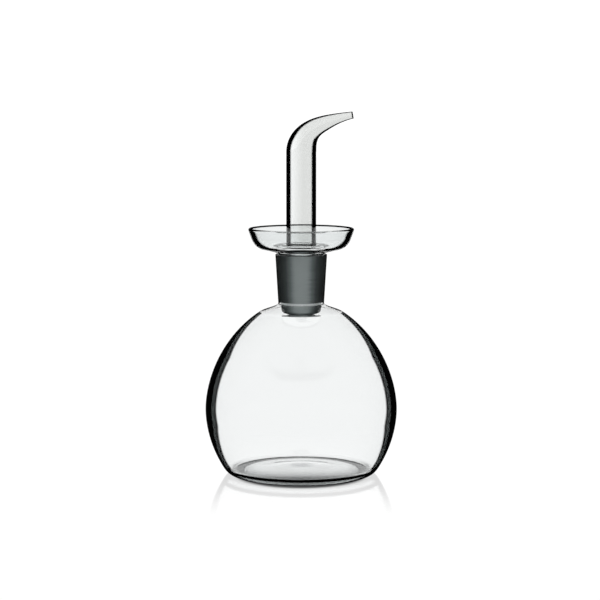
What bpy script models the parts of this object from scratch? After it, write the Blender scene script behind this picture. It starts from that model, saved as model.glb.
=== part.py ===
"""Glass oil cruet: a blown round flask with a ground neck, and the pourer that stands in it.

Both pieces are clear lampworked glass. The flask's neck is ground inside as a 1:10 socket. The pourer
is one fused piece: a hollow ground cone, a saucer that catches drips, and an upright tube that bends
over into a tapering spout. The cruet is empty. Units are metres, the origin is the middle of the
standing ring, +Z is up and the spout points along +X.
"""

import math

import bmesh
import bpy
from mathutils import Matrix, Vector

# Flask, outside. Above and below its widest girth the side is a quarter of a superellipse.
BODY_RADIUS = 0.06043
GIRTH_HEIGHT = 0.04106
DOME_RISE = 0.07008
DOME_POWER = 1.837
BELLY_DROP = 0.06715
BELLY_POWER = 1.893

# Foot: a flat standing ring, a round heel outside it and a base pushed up inside it.
HEEL_HEIGHT = 0.0044
HEEL_REACH = 0.0041
RING_OUTER = 0.0425
RING_INNER = 0.0320
PUSH_UP = 0.0035
PUSH_UP_POWER = 1.5

# Neck, outside, and the shoulder where the dome turns up into it.
SHOULDER_RADIUS = 0.0260
SHOULDER_PULL = (0.0030, 0.0018)
NECK_FOOT_RADIUS = 0.0144
NECK_FOOT_HEIGHT = 0.1080
NECK_TOP_RADIUS = 0.0162
NECK_TOP_HEIGHT = 0.1390
LIP_ROUND = 0.0006

# Ground joint: 1:10 on the diameter, 29.2 mm wide at the top.
SOCKET_TOP_RADIUS = 0.0146
SOCKET_LENGTH = 0.0320
SOCKET_SLOPE = 1 / 20
GROUND_GAP = 0.0003

# Walls of the flask, and the tight corner inside where its wall meets the floor.
SIDE_WALL = 0.0026
SHOULDER_WALL = 0.0019
BASE_WALL = 0.0013
FLOOR_CORNER_RADIUS = 0.0437
FLOOR_CORNER_ROUND = 0.0010

# Pourer: the hollow cone and its clear, fire-rounded end below the grinding.
CONE_END_HEIGHT = 0.1018
CONE_END_ROUND = 0.0020
CONE_WALL = 0.0022
THROAT_RISE = 0.0065

# Saucer. Its underside rises from the top of the cone, turns a round corner and flares to the rim.
SAUCER_RIM_RADIUS = 0.0331
SAUCER_RIM_HEIGHT = 0.1553
SAUCER_SEAT_HEIGHT = 0.1397
SAUCER_UNDERSIDE = (0.0230, 0.1419)
SAUCER_CORNER = (0.0289, 0.1426)
SAUCER_SIDE = (0.0312, 0.1487)
SAUCER_FLARE = (0.0324, 0.1519)
SAUCER_WALL = 0.0022
SAUCER_FLOOR_HEIGHT = 0.1446
SAUCER_FLOOR_CURVE = 0.0060

# Tube, and its bend and spout as a Bezier curve of controls: sideways, height and outer radius.
TUBE_RADIUS = 0.00935
TUBE_WALL = 0.0015
TUBE_FILLET = 0.0030
BEND = [
    (0.0, 0.20229, TUBE_RADIUS),
    (0.0, 0.21486, 0.01003),
    (0.01067, 0.22119, 0.00203),
    (0.01301, 0.21762, 0.00788),
    (0.01297, 0.22240, 0.00354),
    (0.03226, 0.22571, 0.00220),
]
TIP_WALL = 0.0008

FLASK_SIDES = 60
POURER_SIDES = 48
SPOUT_RINGS = 14
BASE_STEPS = 5


def clear_scene():
    """Empties the file without closing it."""
    for old in list(bpy.data.objects):
        bpy.data.objects.remove(old, do_unlink=True)


def glass(name, colour, roughness):
    """Clear or ground glass, seen from both sides."""
    material = bpy.data.materials.new(name)
    material.use_nodes = True
    shader = material.node_tree.nodes["Principled BSDF"]
    shader.inputs["Base Color"].default_value = (*colour, 1.0)
    shader.inputs["Roughness"].default_value = roughness
    shader.inputs["Metallic"].default_value = 0.0
    shader.inputs["IOR"].default_value = 1.47
    shader.inputs["Transmission Weight"].default_value = 1.0
    return material


def bezier(points, steps):
    """The points after the first along a Bezier curve with any number of control points."""
    degree = len(points) - 1
    curve = []
    for step in range(1, steps + 1):
        t = step / steps
        weights = [math.comb(degree, k) * t**k * (1 - t) ** (degree - k) for k in range(degree + 1)]
        curve.append(tuple(sum(w * value for w, value in zip(weights, values)) for values in zip(*points)))
    return curve


def dome_point(angle):
    """A point on the flask's side, as (radius, height), above the girth for a positive angle."""
    rise, power = (DOME_RISE, DOME_POWER) if angle >= 0 else (-BELLY_DROP, BELLY_POWER)
    radius = BODY_RADIUS * math.cos(angle) ** (2 / power)
    return radius, GIRTH_HEIGHT + rise * abs(math.sin(angle)) ** (2 / power)


def flask_side():
    """The flask's side from the top of the heel up to where the shoulder leaves the dome."""
    low = -math.asin(((GIRTH_HEIGHT - HEEL_HEIGHT) / BELLY_DROP) ** (BELLY_POWER / 2))
    high = math.acos((SHOULDER_RADIUS / BODY_RADIUS) ** (DOME_POWER / 2))
    lower = [dome_point(low * (1 - step / 5)) for step in range(5)]
    upper = [dome_point(high * step / 9) for step in range(10)]
    return lower + upper


def inward(points, walls):
    """The curve set in from an outline by a wall at each point, square to the outline."""
    moved = []
    for index, (radius, height) in enumerate(points):
        before = points[max(index - 1, 0)]
        after = points[min(index + 1, len(points) - 1)]
        along = Vector((after[0] - before[0], after[1] - before[1])).normalized()
        moved.append((radius - along.y * walls[index], height + along.x * walls[index]))
    return moved


def socket_radius(height):
    """Radius of the ground socket at a height."""
    return SOCKET_TOP_RADIUS - (NECK_TOP_HEIGHT - height) * SOCKET_SLOPE


def pushed_up(rise):
    """The pushed-up middle of the base, from the axis out to the ring, at a height above the ground."""
    shares = [step / BASE_STEPS for step in range(BASE_STEPS + 1)]
    return [(RING_INNER * share, rise + PUSH_UP * (1 - share**2) ** PUSH_UP_POWER) for share in shares]


def flask_profile():
    """The flask's closed outline, from the middle of its underside round to the middle of its floor."""
    side = flask_side()
    heel = bezier([(RING_OUTER, 0.0), (RING_OUTER + HEEL_REACH, 0.0), side[0]], 3)[:-1]
    pull_in, pull_up = SHOULDER_PULL
    shoulder = bezier(
        [
            side[-1],
            (side[-1][0] - pull_in, side[-1][1] + pull_up),
            (NECK_FOOT_RADIUS, NECK_FOOT_HEIGHT - pull_up),
            (NECK_FOOT_RADIUS, NECK_FOOT_HEIGHT),
        ],
        5,
    )
    lip_radius = socket_radius(NECK_TOP_HEIGHT)
    lip = [
        (NECK_TOP_RADIUS, NECK_TOP_HEIGHT - LIP_ROUND),
        (NECK_TOP_RADIUS - LIP_ROUND, NECK_TOP_HEIGHT),
        (lip_radius + LIP_ROUND, NECK_TOP_HEIGHT),
        (lip_radius - LIP_ROUND * SOCKET_SLOPE, NECK_TOP_HEIGHT - LIP_ROUND),
    ]
    socket_foot = NECK_TOP_HEIGHT - SOCKET_LENGTH
    walls = [
        SIDE_WALL + (SHOULDER_WALL - SIDE_WALL) * max(0.0, (height - GIRTH_HEIGHT) / DOME_RISE)
        for _, height in side
    ]
    inner_side = inward(side, walls)[::-1]
    foot_radius = socket_radius(socket_foot)
    inner_shoulder = bezier(
        [
            (foot_radius, socket_foot),
            (foot_radius, socket_foot - pull_in),
            (inner_side[0][0] - pull_in, inner_side[0][1] + pull_up),
            inner_side[0],
        ],
        4,
    )
    corner = Vector((FLOOR_CORNER_RADIUS, BASE_WALL))
    up_wall = (Vector(inner_side[-1]) - corner).normalized() * FLOOR_CORNER_ROUND
    corner_start = tuple(corner + up_wall)
    floor_edge = (FLOOR_CORNER_RADIUS - FLOOR_CORNER_ROUND, BASE_WALL)
    floor_corner = [corner_start] + bezier([corner_start, tuple(corner), floor_edge], 2)
    outside = pushed_up(0.0) + [(RING_OUTER, 0.0)] + heel + side + shoulder + lip
    inside = [(foot_radius, socket_foot)] + inner_shoulder + inner_side[1:] + floor_corner
    return outside + inside + pushed_up(BASE_WALL)[::-1]


def saucer_under():
    """The saucer's outside from the top of the cone to the rim."""
    seat = (SOCKET_TOP_RADIUS - GROUND_GAP, SAUCER_SEAT_HEIGHT)
    corner = bezier([SAUCER_UNDERSIDE, SAUCER_CORNER, SAUCER_SIDE], 5)
    rim_edge = (SAUCER_RIM_RADIUS, SAUCER_RIM_HEIGHT - SAUCER_WALL / 2)
    flare = bezier([SAUCER_SIDE, SAUCER_FLARE, rim_edge], 3)
    return [seat, SAUCER_UNDERSIDE] + corner + flare


def pourer_profile():
    """The turned part of the pourer, from the foot of the bend down its outside and up its bore."""
    under = saucer_under()
    inner_wall = inward(under[4:], [SAUCER_WALL] * len(under[4:]))[::-1]
    middle = SAUCER_RIM_RADIUS - SAUCER_WALL / 2
    lip = [
        (
            middle + SAUCER_WALL / 2 * math.cos(math.radians(turn)),
            SAUCER_RIM_HEIGHT - SAUCER_WALL / 2 + SAUCER_WALL / 2 * math.sin(math.radians(turn)),
        )
        for turn in (135, 90, 45)
    ]
    fillet_top = (TUBE_RADIUS, SAUCER_FLOOR_HEIGHT + TUBE_FILLET)
    fillet = bezier(
        [
            fillet_top,
            (TUBE_RADIUS, SAUCER_FLOOR_HEIGHT),
            (TUBE_RADIUS + TUBE_FILLET, SAUCER_FLOOR_HEIGHT),
        ],
        3,
    )
    corner_radius, corner_height = inner_wall[-1]
    floor_edge = (corner_radius - SAUCER_FLOOR_CURVE, SAUCER_FLOOR_HEIGHT)
    corner_pull = (corner_radius - SAUCER_FLOOR_CURVE / 3, SAUCER_FLOOR_HEIGHT)
    inner_corner = bezier([floor_edge, corner_pull, (corner_radius, corner_height)], 3)
    saucer_inside = fillet + [floor_edge] + inner_corner[:-1]
    end_radius = socket_radius(CONE_END_HEIGHT) - GROUND_GAP
    cone_end = bezier(
        [
            (end_radius + CONE_END_ROUND * SOCKET_SLOPE, CONE_END_HEIGHT + CONE_END_ROUND),
            (end_radius, CONE_END_HEIGHT),
            (end_radius - CONE_WALL / 2, CONE_END_HEIGHT),
        ],
        3,
    )
    bore = TUBE_RADIUS - TUBE_WALL
    cone_inside = SOCKET_TOP_RADIUS - GROUND_GAP - CONE_WALL
    throat = bezier(
        [
            (cone_inside, NECK_TOP_HEIGHT - THROAT_RISE / 3),
            (cone_inside, NECK_TOP_HEIGHT + THROAT_RISE / 2),
            (bore, NECK_TOP_HEIGHT),
            (bore, NECK_TOP_HEIGHT + THROAT_RISE),
        ],
        6,
    )
    hollow = [
        (end_radius - CONE_WALL, CONE_END_HEIGHT + CONE_WALL / 2),
        (cone_inside, NECK_TOP_HEIGHT - THROAT_RISE / 3),
    ]
    down = [(TUBE_RADIUS, BEND[0][1]), fillet_top] + saucer_inside + inner_wall[::-1] + lip
    back = under[::-1]
    cone = [(end_radius + CONE_END_ROUND * SOCKET_SLOPE, CONE_END_HEIGHT + CONE_END_ROUND)] + cone_end
    return down + back + cone + hollow + throat + [(bore, BEND[0][1])]


def turned(points, sides):
    """A bmesh with the outline turned once round the Z axis."""
    mesh = bmesh.new()
    corners = [mesh.verts.new((radius, 0.0, height)) for radius, height in points]
    edges = [mesh.edges.new(pair) for pair in zip(corners, corners[1:])]
    bmesh.ops.spin(
        mesh,
        geom=corners + edges,
        cent=(0.0, 0.0, 0.0),
        axis=(0.0, 0.0, 1.0),
        angle=math.tau,
        steps=sides,
        use_merge=True,
    )
    bmesh.ops.remove_doubles(mesh, verts=mesh.verts, dist=1e-6)
    return mesh


def open_ring(mesh, radius):
    """The open edges round the top of a turned mesh that lie nearest this radius."""
    edges = [edge for edge in mesh.edges if edge.is_boundary]
    return [edge for edge in edges if abs(edge.verts[0].co.xy.length - radius) < TUBE_WALL / 4]


def grow_spout(mesh, edges, wall_at):
    """Extrudes an open ring of edges ring by ring along the bend, and returns the last ring.

    wall_at gives how far inside the outer surface the ring runs, at a share of the way to the tip.
    """
    stations = [BEND[0]] + bezier(BEND, SPOUT_RINGS)
    ring = list({vert: None for edge in edges for vert in edge.verts})
    places = [vert.co.copy() for vert in ring]
    for step in range(1, SPOUT_RINGS + 1):
        made = bmesh.ops.extrude_edge_only(mesh, edges=edges)["geom"]
        new_edges = [item for item in made if isinstance(item, bmesh.types.BMEdge)]
        new_edges = [edge for edge in new_edges if edge.is_boundary]
        partner = {}
        for vert in {vert: None for edge in new_edges for vert in edge.verts}:
            for edge in vert.link_edges:
                other = edge.other_vert(vert)
                if other in ring:
                    partner[other] = vert
        ring = [partner[vert] for vert in ring]
        sideways, height, radius = stations[step]
        ahead = stations[min(step + 1, SPOUT_RINGS)]
        behind = stations[step - 1]
        lean = Matrix.Rotation(math.atan2(ahead[0] - behind[0], ahead[1] - behind[1]), 3, "Y")
        scale = (radius - wall_at(step / SPOUT_RINGS)) / (TUBE_RADIUS - wall_at(0.0))
        for vert, place in zip(ring, places):
            vert.co = Vector((sideways, 0.0, height)) + lean @ Vector((place.x * scale, place.y * scale, 0.0))
        edges = new_edges
    return edges


def finished(name, mesh, material, sharp_degrees):
    """Turns the bmesh into an object of this name, smooth but for its sharp edges."""
    bmesh.ops.recalc_face_normals(mesh, faces=mesh.faces)
    data = bpy.data.meshes.new(name)
    mesh.to_mesh(data)
    mesh.free()
    data.shade_smooth()
    data.set_sharp_from_angle(angle=math.radians(sharp_degrees))
    data.materials.append(material)
    piece = bpy.data.objects.new(name, data)
    bpy.context.scene.collection.objects.link(piece)
    return piece


def make_bottle():
    """The blown flask."""
    mesh = turned(flask_profile(), FLASK_SIDES)
    return finished("bottle", mesh, glass("clear_glass", (0.93, 0.95, 0.94), 0.0), 35)


def make_pourer():
    """The cone, saucer, tube and spout, fused in one."""
    mesh = turned(pourer_profile(), POURER_SIDES)

    def tube_wall(share):
        return TUBE_WALL + (TIP_WALL - TUBE_WALL) * share

    outer_tip = grow_spout(mesh, open_ring(mesh, TUBE_RADIUS), lambda share: 0.0)
    inner_tip = grow_spout(mesh, open_ring(mesh, TUBE_RADIUS - TUBE_WALL), tube_wall)
    bmesh.ops.bridge_loops(mesh, edges=outer_tip + inner_tip)
    return finished("pourer", mesh, glass("clear_glass_pourer", (0.93, 0.95, 0.94), 0.0), 35)


clear_scene()
make_bottle()
make_pourer()
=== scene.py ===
import math

import bmesh
import bpy
from mathutils import Matrix, Vector


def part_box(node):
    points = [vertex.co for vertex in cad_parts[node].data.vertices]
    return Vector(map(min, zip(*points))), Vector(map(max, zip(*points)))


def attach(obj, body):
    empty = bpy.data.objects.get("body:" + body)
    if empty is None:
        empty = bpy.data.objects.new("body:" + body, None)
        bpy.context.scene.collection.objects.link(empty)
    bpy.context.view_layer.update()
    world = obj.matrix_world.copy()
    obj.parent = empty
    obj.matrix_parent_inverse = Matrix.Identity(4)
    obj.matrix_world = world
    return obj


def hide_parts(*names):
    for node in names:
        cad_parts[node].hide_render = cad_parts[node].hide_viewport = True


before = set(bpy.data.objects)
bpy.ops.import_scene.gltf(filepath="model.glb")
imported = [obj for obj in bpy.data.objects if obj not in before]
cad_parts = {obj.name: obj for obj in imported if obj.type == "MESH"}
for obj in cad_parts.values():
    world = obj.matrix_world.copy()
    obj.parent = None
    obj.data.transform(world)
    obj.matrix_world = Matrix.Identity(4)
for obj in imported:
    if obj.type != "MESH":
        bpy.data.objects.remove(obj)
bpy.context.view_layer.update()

# Flask
# A round body of clear borosilicate glass, blown in a mould and worked by flame. It stands on a
# narrow flat ring round a base that is pushed up inside, and its shoulder turns up into a short
# flared neck, which is ground inside as a socket. Sizes are in metres, here and below.
_, flask_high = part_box("bottle")
body_radius, neck_top = flask_high.x, flask_high.z
girth_height = 0.04106
dome_rise, dome_power, dome_steps = 0.07008, 1.837, 40
belly_drop, belly_power, belly_steps = 0.06715, 1.893, 24
side_wall, shoulder_wall, base_wall = 0.0026, 0.0019, 0.0013
ring_outer, ring_inner = 0.0425, 0.0320
push_up, push_up_power, push_up_steps = 0.0035, 1.5, 24
heel_height, heel_reach = 0.0044, 0.0041
corner_radius, corner_round = 0.0437, 0.0012
shoulder_radius = 0.0260
shoulder_pull_in, shoulder_pull_up = 0.0030, 0.0018
neck_foot_radius, neck_foot_height = 0.0144, 0.1080
neck_top_radius, lip_round = 0.0162, 0.0007
socket_top_radius, socket_length, socket_slope = 0.0146, 0.0320, 1 / 20
flask_sides = 192
merge_distance = 1e-7
sharp_angle = math.radians(40)

# Where each finish and each zone of painted shade on the flask ends and the next begins.
ground_foot = 0.1089
floor_middle_reach, floor_line_from, corner_line = 0.0090, 0.0365, 0.0007
ring_top, heel_line, heel_top = 1e-5, 0.0056, 0.0068


def curve(points, steps):
    """The points after the first along a Bezier curve with any number of control points."""
    degree = len(points) - 1
    made = []
    for step in range(1, steps + 1):
        t = step / steps
        weights = [math.comb(degree, k) * t**k * (1 - t) ** (degree - k)
                   for k in range(degree + 1)]
        made.append(tuple(sum(w * value for w, value in zip(weights, values))
                          for values in zip(*points)))
    return made


def side_point(angle):
    """A point on the flask's side, as (radius, height): on the dome for an angle above zero."""
    rise, power = (dome_rise, dome_power) if angle >= 0 else (-belly_drop, belly_power)
    radius = body_radius * math.cos(angle) ** (2 / power)
    return radius, girth_height + rise * abs(math.sin(angle)) ** (2 / power)


def base_curve(height):
    """The pushed-up base from the axis out to the standing ring, raised to a height."""
    shares = [step / push_up_steps for step in range(push_up_steps + 1)]
    return [(ring_inner * share, height + push_up * (1 - share**2) ** push_up_power)
            for share in shares]


def set_in(points, walls):
    """An outline moved in by the wall at each point, square to the outline."""
    moved = []
    for index, (radius, height) in enumerate(points):
        before, after = points[max(index - 1, 0)], points[min(index + 1, len(points) - 1)]
        along = Vector((after[0] - before[0], after[1] - before[1])).normalized()
        moved.append((radius - along.y * walls[index], height + along.x * walls[index]))
    return moved


def socket_radius(height):
    """Radius of the ground socket at a height."""
    return socket_top_radius - (neck_top - height) * socket_slope


def turned(points, sides):
    """A bmesh of an outline turned once round the Z axis."""
    mesh = bmesh.new()
    corners = [mesh.verts.new((radius, 0.0, height)) for radius, height in points]
    edges = [mesh.edges.new(pair) for pair in zip(corners, corners[1:])]
    bmesh.ops.spin(mesh, geom=corners + edges, cent=(0, 0, 0), axis=(0, 0, 1), angle=math.tau,
                   steps=sides, use_merge=True)
    bmesh.ops.remove_doubles(mesh, verts=mesh.verts, dist=merge_distance)
    return mesh


def flask_outline():
    """The closed outline of the wall, from under the base round by the lip to the floor inside."""
    low = -math.asin(((girth_height - heel_height) / belly_drop) ** (belly_power / 2))
    high = math.acos((shoulder_radius / body_radius) ** (dome_power / 2))
    side = [side_point(low * (1 - step / belly_steps)) for step in range(belly_steps)]
    side += [side_point(high * step / dome_steps) for step in range(dome_steps + 1)]
    heel_curve = curve([(ring_outer, 0.0), (ring_outer + heel_reach, 0.0), side[0]], steps=12)
    shoulder_x, shoulder_z = side[-1]
    shoulder = curve([(shoulder_x, shoulder_z),
                      (shoulder_x - shoulder_pull_in, shoulder_z + shoulder_pull_up),
                      (neck_foot_radius, neck_foot_height - shoulder_pull_up),
                      (neck_foot_radius, neck_foot_height)], steps=20)
    lip_inner = socket_radius(neck_top)
    lip = [(neck_top_radius, neck_top - lip_round)]
    lip += curve([lip[0], (neck_top_radius, neck_top),
                  (neck_top_radius - lip_round, neck_top)], steps=5)
    lip += curve([(lip_inner + lip_round, neck_top), (lip_inner, neck_top),
                  (lip_inner, neck_top - lip_round)], steps=5)
    walls = [side_wall + (shoulder_wall - side_wall) * max(0.0, (height - girth_height) / dome_rise)
             for _, height in side]
    inner_side = set_in(side, walls)[::-1]
    top_x, top_z = inner_side[0]
    ground_end = (socket_radius(neck_top - socket_length), neck_top - socket_length)
    inner_shoulder = curve([ground_end, (ground_end[0], ground_end[1] - shoulder_pull_up),
                            (top_x - shoulder_pull_in, top_z + shoulder_pull_up),
                            (top_x, top_z)], steps=16)
    corner = Vector((corner_radius, base_wall))
    corner_start = corner + (Vector(inner_side[-1]) - corner).normalized() * corner_round
    inner_heel = [tuple(corner_start)]
    inner_heel += curve([tuple(corner_start), tuple(corner),
                         (corner_radius - corner_round, base_wall)], steps=8)
    inner_heel += [(floor_line_from, base_wall), (ring_inner, base_wall)]
    return (base_curve(0.0) + [(ring_outer, 0.0)] + heel_curve[:-1] + side + shoulder + lip
            + [(socket_radius(ground_foot), ground_foot), ground_end] + inner_shoulder
            + inner_side[1:] + inner_heel + base_curve(base_wall)[::-1][1:])


def piece_of(name, mesh, materials):
    """Makes the bmesh an object that stands at the origin, smooth but for its sharp edges."""
    data = bpy.data.meshes.new(name)
    mesh.to_mesh(data)
    mesh.free()
    data.shade_smooth()
    data.set_sharp_from_angle(angle=sharp_angle)
    for material in materials:
        data.materials.append(material)
    piece = bpy.data.objects.new(name, data)
    bpy.context.scene.collection.objects.link(piece)
    return piece


def linear(code):
    """An sRGB hex colour as linear RGBA."""
    parts = [int(code[place:place + 2], 16) / 255 for place in (1, 3, 5)]
    return (*[part / 12.92 if part <= 0.04045 else ((part + 0.055) / 1.055) ** 2.4
              for part in parts], 1.0)


def add(tree, kind, inputs, **settings):
    """Adds a node with its settings, each input given a value or linked to an output.

    The stops of a colour ramp are pairs of a place and an sRGB hex colour.
    """
    made = tree.nodes.new(kind)
    for place, code in settings.pop("stops", []):
        made.color_ramp.elements.new(place).color = linear(code)
    if kind == "ShaderNodeValToRGB":
        made.color_ramp.elements.remove(made.color_ramp.elements[0])
        made.color_ramp.elements.remove(made.color_ramp.elements[-1])
    for name, value in settings.items():
        setattr(made, name, value)
    in_use = [entry for entry in made.inputs if entry.enabled]
    for name, value in inputs.items():
        if isinstance(name, int):
            entry = in_use[name]
        else:
            entry = next(other for other in in_use if other.name == name)
        if isinstance(value, bpy.types.NodeSocket):
            tree.links.new(value, entry)
        else:
            entry.default_value = value
    return made


def emptied_tree(owner):
    """The node tree of a new material or world, with nothing in it."""
    owner.use_nodes = True
    owner.node_tree.nodes.clear()
    return owner.node_tree


# The normal's Z over which glass comes to face up, and over which it stops facing down.
facing_up, facing_down = (0.5, 1.0), (-0.42, -0.1)
borosilicate_ior = 1.47
clear_foot = [(0.0, "#FFFFFF"), (1.0, "#FFFFFF")]


def clear_glass(name, tint_code, bands, relief_up=0.0, relief_down=0.0, foot_bands=clear_foot,
                shade=None):
    """Fire-polished borosilicate. A wall seen edge on carries light sideways and looks black,
    and painted shade in the tint makes it black there.

    The bands are stops of a ramp over 1 less the cosine between the surface and the line of
    sight; they paint the shade of the edges into the tint. The reliefs shift them where the glass
    faces up or down, as it gathers light from above or below there. Foot bands paint dark and grey
    lines of shade up the heel, from the floor to the heel's line, where light enters it. A shade
    is a painted shade: the colour that the tint turns to, the point that it turns away from, in
    plan, and the distances over which it turns.
    """
    material = bpy.data.materials.new(name)
    tree = emptied_tree(material)
    place = add(tree, "ShaderNodeTexCoord", {})
    faces = add(tree, "ShaderNodeSeparateXYZ", {"Vector": place.outputs["Normal"]})
    where = add(tree, "ShaderNodeSeparateXYZ", {"Vector": place.outputs["Object"]})
    shade_code, point, near, far = shade or (tint_code, (0.0, 0.0, 0.0), 0.0, 1.0)
    plan = add(tree, "ShaderNodeCombineXYZ", {"X": where.outputs["X"], "Y": where.outputs["Y"]})
    away = add(tree, "ShaderNodeVectorMath", {0: plan.outputs[0], 1: point}, operation="DISTANCE")
    turn = add(tree, "ShaderNodeMapRange", {"Value": away.outputs["Value"], "From Min": near,
                                            "From Max": far})
    tint = add(tree, "ShaderNodeMix", {"Factor": turn.outputs[0], "A": linear(tint_code),
                                       "B": linear(shade_code)}, data_type="RGBA")
    up = add(tree, "ShaderNodeMapRange", {"Value": faces.outputs["Z"], "From Min": facing_up[0],
                                          "From Max": facing_up[1], "To Min": 0.0,
                                          "To Max": relief_up})
    down = add(tree, "ShaderNodeMapRange", {"Value": faces.outputs["Z"],
                                            "From Min": facing_down[0],
                                            "From Max": facing_down[1],
                                            "To Min": relief_down, "To Max": 0.0})
    relief = add(tree, "ShaderNodeMath", {0: up.outputs[0], 1: down.outputs[0]}, operation="ADD")
    sight = add(tree, "ShaderNodeLayerWeight", {"Blend": 0.5})
    edge_on = add(tree, "ShaderNodeMath", {0: sight.outputs["Facing"], 1: relief.outputs[0]},
                  operation="SUBTRACT")
    edge = add(tree, "ShaderNodeValToRGB", {"Fac": edge_on.outputs[0]}, stops=bands)
    risen = add(tree, "ShaderNodeMapRange", {"Value": where.outputs["Z"], "From Max": heel_line})
    leaving = add(tree, "ShaderNodeNewGeometry", {}).outputs["Backfacing"]
    rise = add(tree, "ShaderNodeMath", {0: risen.outputs[0], 1: leaving}, operation="MAXIMUM")
    foot = add(tree, "ShaderNodeValToRGB", {"Fac": rise.outputs[0]}, stops=foot_bands)
    dark = add(tree, "ShaderNodeMix", {"Factor": 1.0, "A": edge.outputs["Color"],
                                       "B": foot.outputs["Color"]},
               data_type="RGBA", blend_type="MULTIPLY")
    colour = add(tree, "ShaderNodeMix", {"Factor": 1.0, "A": tint.outputs[2],
                                         "B": dark.outputs[2]},
                 data_type="RGBA", blend_type="MULTIPLY")
    glass = add(tree, "ShaderNodeBsdfPrincipled", {"Base Color": colour.outputs[2],
                                                   "Roughness": 0.0, "IOR": borosilicate_ior,
                                                   "Transmission Weight": 1.0})
    add(tree, "ShaderNodeOutputMaterial", {"Surface": glass.outputs[0]})
    return material


marks_a_metre, grit_a_metre = (60, 60, 1400), 2500.0
grit_share, unevenness, noise_middle = 0.35, 0.05, 0.5
joint_shades = [(0.0, "#B0B8B8"), (0.027, "#A9B1B1"), (0.069, "#757D7D"), (0.122, "#4E5353"),
                (0.199, "#393D3D"), (0.273, "#333636"), (0.320, "#262828")]


def ground_glass(name, shades, darkening=1.0):
    """Glass ground matt with fine grit, so the joint seals. It scatters light and looks slate grey,
    partly its own grey and partly painted shade.

    The grit leaves fine marks round the cone, drawn about 0.7 mm apart instead of the real
    0.05 mm, to be seen. The shades are the stops of a ramp of painted shade over how far the
    glass turns away from the eye, and the darkening is how fast it goes along them.
    """
    material = bpy.data.materials.new(name)
    tree = emptied_tree(material)
    sight = add(tree, "ShaderNodeLayerWeight", {"Blend": 0.5})
    place = add(tree, "ShaderNodeTexCoord", {})
    round_cone = add(tree, "ShaderNodeMapping", {"Vector": place.outputs["Object"],
                                                 "Scale": marks_a_metre})
    marks = add(tree, "ShaderNodeTexNoise", {"Vector": round_cone.outputs[0], "Scale": 1.0,
                                             "Detail": 3.0})
    grit = add(tree, "ShaderNodeTexNoise", {"Vector": place.outputs["Object"],
                                            "Scale": grit_a_metre, "Detail": 1.0})
    both = add(tree, "ShaderNodeMix", {"Factor": grit_share, "A": marks.outputs[0],
                                       "B": grit.outputs[0]})
    uneven = add(tree, "ShaderNodeMath", {0: both.outputs[0], 1: noise_middle},
                 operation="SUBTRACT")
    turned_away = add(tree, "ShaderNodeMath", {0: sight.outputs["Facing"], 1: darkening},
                      operation="MULTIPLY")
    along = add(tree, "ShaderNodeMath", {0: uneven.outputs[0], 1: unevenness,
                                         2: turned_away.outputs[0]}, operation="MULTIPLY_ADD")
    grey = add(tree, "ShaderNodeValToRGB", {"Fac": along.outputs[0]}, stops=shades)
    matt = add(tree, "ShaderNodeBsdfPrincipled", {"Base Color": grey.outputs["Color"],
                                                  "Roughness": 0.6, "IOR": borosilicate_ior,
                                                  "Specular IOR Level": 0.0})
    add(tree, "ShaderNodeOutputMaterial", {"Surface": matt.outputs[0]})
    return material


def looks_to(face, height):
    """Whether a face looks towards the point on the axis at this height."""
    return face.normal.dot(face.calc_center_median() - Vector((0.0, 0.0, height))) < 0


# The blown outside: its outline is a black line with a slate grey core, painted shade in the tint.
flask_tint = "#F9FAFA"
edge_bands = [(0.525, "#FFFFFF"), (0.555, "#020202"), (0.58, "#020202"), (0.605, "#0C0E0E"),
              (0.63, "#0C0E0E"), (0.665, "#000000")]
blown = clear_glass("blown_borosilicate", flask_tint, edge_bands, relief_up=0.27,
                    relief_down=0.125)

# The inside of the wall, and the neck: clear, as the outside's line covers their edges, but for a
# faint painted shade where they are seen fully edge on.
faint_shade_bands = [(0.9, "#FFFFFF"), (1.0, "#808080")]
blown_inside = clear_glass("blown_borosilicate_inside", flask_tint, faint_shade_bands)

# The floor: a painted reflection of the dim room darkens it towards the front.
floor_shade = ("#4A4E4E", (0.0, 0.0155, 0.0), 0.0300, 0.0410)
floor_glass = clear_glass("borosilicate_floor", flask_tint, faint_shade_bands, shade=floor_shade)

# The middle of the floor: a faint grey spot of painted reflection, where the blown base was pushed
# up.
middle_shade = (flask_tint, (0.0, 0.0, 0.0), 0.0010, floor_middle_reach)
middle_glass = clear_glass("borosilicate_floor_middle", "#BCBCC0", faint_shade_bands, shade=middle_shade)

# The inner corner between floor and wall: painted shade draws a thin dark line round the floor.
corner_bands = [(0.60, "#FFFFFF"), (0.76, "#000000")]
corner_glass = clear_glass("borosilicate_floor_corner", flask_tint, corner_bands)

# The thick heel: dark and grey lines of painted shade that run round the foot.
heel_bands = [(0.62, "#FFFFFF"), (0.70, "#000000")]
heel_lines = [(0.0, "#262828"), (0.20, "#262828"), (0.34, "#A2A6A6"), (0.50, "#9A9E9E"),
              (0.62, "#000000"), (0.94, "#000000"), (1.0, "#FFFFFF")]
heel_glass = clear_glass("borosilicate_heel", flask_tint, heel_bands, foot_bands=heel_lines)

# The socket, and the pourer's cone in it, greyed by painted shade.
ground = ground_glass("ground_borosilicate", joint_shades)

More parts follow.
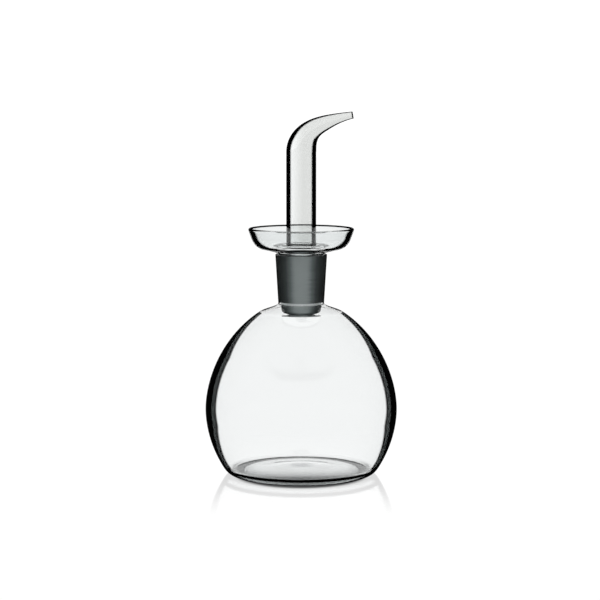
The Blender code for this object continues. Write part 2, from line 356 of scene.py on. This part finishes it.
flask_mesh = turned(flask_outline(), flask_sides)
bmesh.ops.recalc_face_normals(flask_mesh, faces=flask_mesh.faces)
flask_glasses = [blown, ground, corner_glass, blown_inside, heel_glass, floor_glass, middle_glass]
outside, socket, floor_corner, inside, heel, floor, floor_middle = range(len(flask_glasses))
for face in flask_mesh.faces:
    middle = face.calc_center_median()
    from_axis = middle.xy.length
    on_floor = middle.z < base_wall + push_up
    looks_in = looks_to(face, girth_height)
    if ground_foot <= middle.z <= neck_top - lip_round and looks_to(face, middle.z):
        face.material_index = socket
    elif not looks_in and middle.z > girth_height and from_axis < shoulder_radius:
        face.material_index = inside
    elif looks_in and on_floor and from_axis < floor_middle_reach:
        face.material_index = floor_middle
    elif looks_in and on_floor and from_axis < floor_line_from:
        face.material_index = floor
    elif looks_in:
        face.material_index = floor_corner if middle.z < base_wall + corner_line else inside
    elif ring_top < middle.z < heel_top and from_axis > ring_outer:
        face.material_index = heel
flask = piece_of("flask", flask_mesh, flask_glasses)
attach(flask, "root")
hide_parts("bottle")

# Pourer
# One piece of lampworked borosilicate that rests in the neck: a hollow cone, ground on its
# outside, a saucer that catches drips, and a drawn tube bent over into a spout that tapers to a
# fire-cut tip.
ground_gap = 0.0003
cone_end, cone_end_round, cone_wall = 0.1006, 0.0020, 0.0022
throat_rise = 0.0065
seat_height, seat_edge_share = 0.1397, 0.4
underside_edge, saucer_corner, saucer_side = (0.0230, 0.1419), (0.0289, 0.1426), (0.0312, 0.1487)
flare_pull = (0.0324, 0.1519)
rim_radius, rim_height, rim_steps = 0.0331, 0.1553, 10
saucer_wall, saucer_floor, floor_curve, wall_start = 0.0022, 0.1446, 0.0060, 6
tube_radius, tube_wall, tube_fillet, tip_wall = 0.00935, 0.0015, 0.0016, 0.0005
pourer_sides, spout_rings = 128, 56
strip_foot, same_height = 0.1070, 1e-5

# The bend and spout, as control points of one curve: along X, up, and the tube's radius there.
bend = [(0.0, 0.20229, 0.00935), (0.0, 0.21486, 0.01003), (0.01067, 0.22119, 0.00203),
        (0.01301, 0.21762, 0.00788), (0.01297, 0.22240, 0.00354), (0.03226, 0.22571, 0.00220)]
bend_start = bend[0][1]
seat = (socket_top_radius - ground_gap, seat_height)
seat_edge = Vector(seat).lerp(Vector(underside_edge), seat_edge_share).to_tuple()


def pourer_outline():
    """The outline of the turned part, from the foot of the bend down outside and up the bore."""
    half = saucer_wall / 2
    underside = curve([underside_edge, saucer_corner, saucer_side], steps=16)
    flare = curve([saucer_side, flare_pull, (rim_radius, rim_height - half)], steps=10)
    wall = underside[wall_start:] + flare
    inner_wall = set_in(wall, [saucer_wall] * len(wall))[::-1]
    turns = [math.radians(180 * step / rim_steps) for step in range(rim_steps - 1, 0, -1)]
    lip = [(rim_radius - half + half * math.cos(turn), rim_height - half + half * math.sin(turn))
           for turn in turns]
    fillet_top = (tube_radius, saucer_floor + tube_fillet)
    fillet = curve([fillet_top, (tube_radius, saucer_floor),
                    (tube_radius + tube_fillet, saucer_floor)], steps=10)
    wall_foot = inner_wall[-1]
    floor_edge = (wall_foot[0] - floor_curve, saucer_floor)
    inner_corner = curve([floor_edge, (wall_foot[0] - floor_curve / 3, saucer_floor), wall_foot],
                         steps=10)
    end_radius = socket_radius(cone_end) - ground_gap
    end_inner = end_radius - cone_wall
    cone_start = (end_radius + cone_end_round * socket_slope, cone_end + cone_end_round)
    bottom = (end_radius - cone_wall / 2, cone_end)
    cone_edge = [cone_start] + curve([cone_start, (end_radius, cone_end), bottom], steps=8)
    inner_edge = curve([bottom, (end_inner, cone_end), (end_inner, cone_end + cone_wall / 2)],
                       steps=6)
    bore = tube_radius - tube_wall
    cone_bore = seat[0] - cone_wall
    throat_foot = (cone_bore, neck_top - throat_rise / 3)
    throat = curve([throat_foot, (cone_bore, neck_top + throat_rise / 2), (bore, neck_top),
                    (bore, neck_top + throat_rise)], steps=20)
    strip_edges = [(socket_radius(height) - ground_gap, height)
                   for height in (ground_foot, strip_foot)]
    return ([(tube_radius, bend_start), fillet_top] + fillet + [floor_edge] + inner_corner[:-1]
            + inner_wall[::-1] + lip + flare[::-1] + underside[::-1]
            + [underside_edge, seat_edge, seat] + strip_edges + cone_edge + inner_edge
            + [throat_foot] + throat + [(bore, bend_start)])


def drawn_out(mesh, wall_at, surface, tip_surface):
    """Extrudes an open ring of the tube's end ring by ring along the bend, and returns the last.

    wall_at gives how far inside the outer surface the ring runs, at a share of the way to the
    tip. surface is the slot of the faces, and tip_surface that of the last, narrow ring of them.
    """
    start = tube_radius - wall_at(0.0)
    edges = [edge for edge in mesh.edges
             if edge.is_boundary and abs(edge.verts[0].co.xy.length - start) < tube_wall / 4
             and edge.verts[0].co.z < bend_start + tube_wall]
    flat = {vert: vert.co.copy() for edge in edges for vert in edge.verts}
    stations = [bend[0]] + curve(bend, steps=spout_rings)
    halfway = Vector(stations[-2]).lerp(Vector(stations[-1]), 0.5)
    stations.insert(-1, halfway.to_tuple())
    last = len(stations) - 1
    for ring in range(1, last + 1):
        x, z, radius = stations[ring]
        after, before = stations[min(ring + 1, last)], stations[ring - 1]
        lean = Matrix.Rotation(math.atan2(after[0] - before[0], after[1] - before[1]), 3, "Y")
        made = bmesh.ops.extrude_edge_only(mesh, edges=edges)["geom"]
        for face in (item for item in made if isinstance(item, bmesh.types.BMFace)):
            face.material_index = surface if ring < last else tip_surface
        edges = [item for item in made
                 if isinstance(item, bmesh.types.BMEdge) and item.is_boundary]
        moved = {}
        for vert in {vert: None for edge in edges for vert in edge.verts}:
            source = next(other for edge in vert.link_edges
                          if (other := edge.other_vert(vert)) in flat)
            moved[vert] = flat[source]
            offset = Vector((moved[vert].x, moved[vert].y, 0.0))
            offset *= (radius - wall_at(ring / last)) / start
            vert.co = Vector((x, 0.0, z)) + lean @ offset
        flat = moved
    return edges


def at_surface(share):
    """No wall lies outside the tube's outer surface, at any share of the way to the tip."""
    return 0.0


def at_bore(share):
    """The wall outside the bore, which thins towards the tip, as the tube was drawn."""
    return tube_wall + (tip_wall - tube_wall) * share


# The saucer: black along its outline, and lighter where it is seen quite edge on, all painted
# shade.
lamp_tint = "#F3F5F5"
saucer_bands = [(0.53, "#FFFFFF"), (0.60, "#000000"), (0.85, "#000000"), (1.00, "#8A8E8E")]
lampworked = clear_glass("lampworked_borosilicate", lamp_tint, saucer_bands, relief_down=-0.04)
lamp_inside = clear_glass("lampworked_borosilicate_inside", lamp_tint, faint_shade_bands)

# The drawn tube: its thick wall makes broad black sides, painted as shade, and painted shade
# makes its right a little greyer.
tube_tint = "#FDFEFE"
tube_shade = ("#EDEEED", (-0.1, 0.0, 0.0), 0.0925, 0.1015)
tube_bands = [(0.225, "#FFFFFF"), (0.315, "#000000")]
drawn = clear_glass("drawn_borosilicate_tube", tube_tint, tube_bands, relief_up=0.2,
                    relief_down=0.1, shade=tube_shade)
bored = clear_glass("borosilicate_tube_bore", tube_tint, faint_shade_bands, shade=tube_shade)

# The fire-polished rim and the cut tip: a thin black line of painted shade.
black_bands = [(0.0, "#000000"), (1.0, "#000000")]
rolled = clear_glass("borosilicate_rim", "#000000", black_bands)

# The cone's foot below the socket, lit from the flask's inside, which is painted light, and the
# pale strip above it, where the grinding runs out, also painted light.
ground_foot_glass = ground_glass("ground_borosilicate_foot", joint_shades, darkening=0.35)
strip_shades = [(0.0, "#F4F8F8"), (0.30, "#C8CECE")]
strip_glass = ground_glass("half_polished_painted_light_borosilicate", strip_shades)

pourer_mesh = turned(pourer_outline(), pourer_sides)
pourer_glasses = [lampworked, drawn, bored, ground, lamp_inside, rolled, ground_foot_glass,
                  strip_glass]
(outside, tube_surface, bore_surface, cone, inside, rim, cone_foot,
 strip) = range(len(pourer_glasses))
outer_tip = drawn_out(pourer_mesh, at_surface, tube_surface, rim)
inner_tip = drawn_out(pourer_mesh, at_bore, bore_surface, bore_surface)
for face in bmesh.ops.bridge_loops(pourer_mesh, edges=outer_tip + inner_tip)["faces"]:
    face.material_index = rim
bmesh.ops.recalc_face_normals(pourer_mesh, faces=pourer_mesh.faces)
for face in [face for face in pourer_mesh.faces if face.material_index == outside]:
    middle = face.calc_center_median()
    from_axis = middle.xy.length
    cone_surface = socket_radius(middle.z) - ground_gap
    if middle.z > saucer_floor and from_axis < tube_radius + tube_fillet:
        in_bore = from_axis < tube_radius - tube_wall / 2
        face.material_index = bore_surface if in_bore else tube_surface
    elif middle.z < seat_height and from_axis > cone_surface - cone_wall / 4:
        if middle.z > ground_foot:
            face.material_index = cone
        else:
            face.material_index = strip if middle.z > strip_foot else cone_foot
    elif seat_height < middle.z < underside_edge[1] and from_axis < seat_edge[0]:
        face.material_index = inside
    elif middle.z > rim_height - saucer_wall / 2 and from_axis < rim_radius - saucer_wall / 2:
        face.material_index = rim
    elif middle.z > saucer_floor - same_height and looks_to(face, rim_height + saucer_wall):
        face.material_index = inside
pourer = piece_of("pourer_glass", pourer_mesh, pourer_glasses)
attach(pourer, "root")
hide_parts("pourer")

# Studio
# A sheet of glossy white acrylic under the cruet, and soft white light from every side. What the
# polished glass mirrors is the dim room behind the light, so its edges, painted dark as shade,
# stay dark.
scene = bpy.context.scene
scene.view_settings.view_transform = "Standard"
light_strength, room_shade = 1.12, 0.004
white, dim = (1.0, 1.0, 1.0, 1.0), (room_shade, room_shade, room_shade, 1.0)


def sharp_mirror(tree):
    """1 for light that reached the eye by a sharp mirror reflection, else 0."""
    path = add(tree, "ShaderNodeLightPath", {})
    return add(tree, "ShaderNodeMath", {0: path.outputs["Is Reflection Ray"],
                                        1: path.outputs["Is Singular Ray"]},
               operation="MULTIPLY").outputs[0]


world = bpy.data.worlds.new("studio")
scene.world = world
tree = emptied_tree(world)
seen = add(tree, "ShaderNodeMix", {"Factor": sharp_mirror(tree), "A": white, "B": dim},
           data_type="RGBA")
back = add(tree, "ShaderNodeBackground", {"Color": seen.outputs[2], "Strength": light_strength})
add(tree, "ShaderNodeOutputWorld", {"Surface": back.outputs[0]})

# The sheet glows, so nothing casts a hard shadow. It glows less under the flask, least of all at
# the front, as a painted shadow, and mirrors softly near it, as polished acrylic does.
sheet_reach, sheet_gap, sheet_sides = 6.0, 0.0001, 96
sheet_strength = 1.03
acrylic_ior, acrylic_roughness = 1.40, 0.08
mirror_near, mirror_far = 0.045, 0.150
shadow_middle, shadow_near, shadow_far = (0.0, -0.008, 0.0), 0.0375, 0.0440
shadow_front, shadow_back = -0.024, -0.012
glow_front, glow_back = 0.12, 0.90
acrylic = bpy.data.materials.new("lit_white_acrylic")
tree = emptied_tree(acrylic)
place = add(tree, "ShaderNodeTexCoord", {})
away = add(tree, "ShaderNodeVectorMath", {0: place.outputs["Object"]}, operation="LENGTH")
fade = add(tree, "ShaderNodeMapRange", {"Value": away.outputs["Value"], "From Min": mirror_near,
                                        "From Max": mirror_far, "To Min": 1.0, "To Max": 0.0},
           interpolation_type="SMOOTHSTEP")
depth = add(tree, "ShaderNodeSeparateXYZ", {"Vector": place.outputs["Object"]})
shadow = add(tree, "ShaderNodeMapRange", {"Value": depth.outputs["Y"], "From Min": shadow_front,
                                          "From Max": shadow_back, "To Min": glow_front,
                                          "To Max": glow_back})
apart = add(tree, "ShaderNodeVectorMath", {0: place.outputs["Object"], 1: shadow_middle},
            operation="DISTANCE")
beyond = add(tree, "ShaderNodeMapRange", {"Value": apart.outputs["Value"],
                                          "From Min": shadow_near, "From Max": shadow_far},
             interpolation_type="SMOOTHSTEP")
lit = add(tree, "ShaderNodeMix", {"Factor": beyond.outputs[0], "A": shadow.outputs[0], "B": 1.0})
strength = add(tree, "ShaderNodeMath", {0: lit.outputs[0], 1: sheet_strength},
               operation="MULTIPLY")
gloss = add(tree, "ShaderNodeFresnel", {"IOR": acrylic_ior})
mirrored = add(tree, "ShaderNodeMath", {0: gloss.outputs[0], 1: fade.outputs[0]},
               operation="MULTIPLY")
glow = add(tree, "ShaderNodeEmission", {"Color": white, "Strength": strength.outputs[0]})
polish = add(tree, "ShaderNodeBsdfGlossy", {"Color": white, "Roughness": acrylic_roughness})
sheet = add(tree, "ShaderNodeMixShader", {0: mirrored.outputs[0], 1: glow.outputs[0],
                                          2: polish.outputs[0]})
room = add(tree, "ShaderNodeEmission", {"Color": dim, "Strength": 1.0})
mixed = add(tree, "ShaderNodeMixShader", {0: sharp_mirror(tree), 1: sheet.outputs[0],
                                          2: room.outputs[0]})
add(tree, "ShaderNodeOutputMaterial", {"Surface": mixed.outputs[0]})

sheet_mesh = bmesh.new()
bmesh.ops.create_circle(sheet_mesh, cap_ends=True, segments=sheet_sides, radius=sheet_reach)
bmesh.ops.translate(sheet_mesh, verts=sheet_mesh.verts, vec=(0.0, 0.0, -sheet_gap))
bmesh.ops.recalc_face_normals(sheet_mesh, faces=sheet_mesh.faces)
ground_sheet = piece_of("floor", sheet_mesh, [acrylic])

eye_side, eye_distance, eye_height = -0.00075, 1.150, 0.2375
down_tilt = math.radians(6.33)
lens, sensor_width, clip_end = 110.4, 36.0, 50.0
camera = bpy.data.objects.new("camera", bpy.data.cameras.new("camera"))
scene.collection.objects.link(camera)
camera.data.lens = lens
camera.data.sensor_width = sensor_width
camera.data.clip_end = clip_end
camera.location = (eye_side, -eye_distance, eye_height)
camera.rotation_euler = (math.pi / 2 - down_tilt, 0.0, 0.0)
scene.camera = camera

# Light passes many walls of glass on its way to the eye.
glass_bounces, mirror_bounces = 32, 16
scene.cycles.max_bounces = glass_bounces
scene.cycles.transmission_bounces = glass_bounces
scene.cycles.glossy_bounces = mirror_bounces
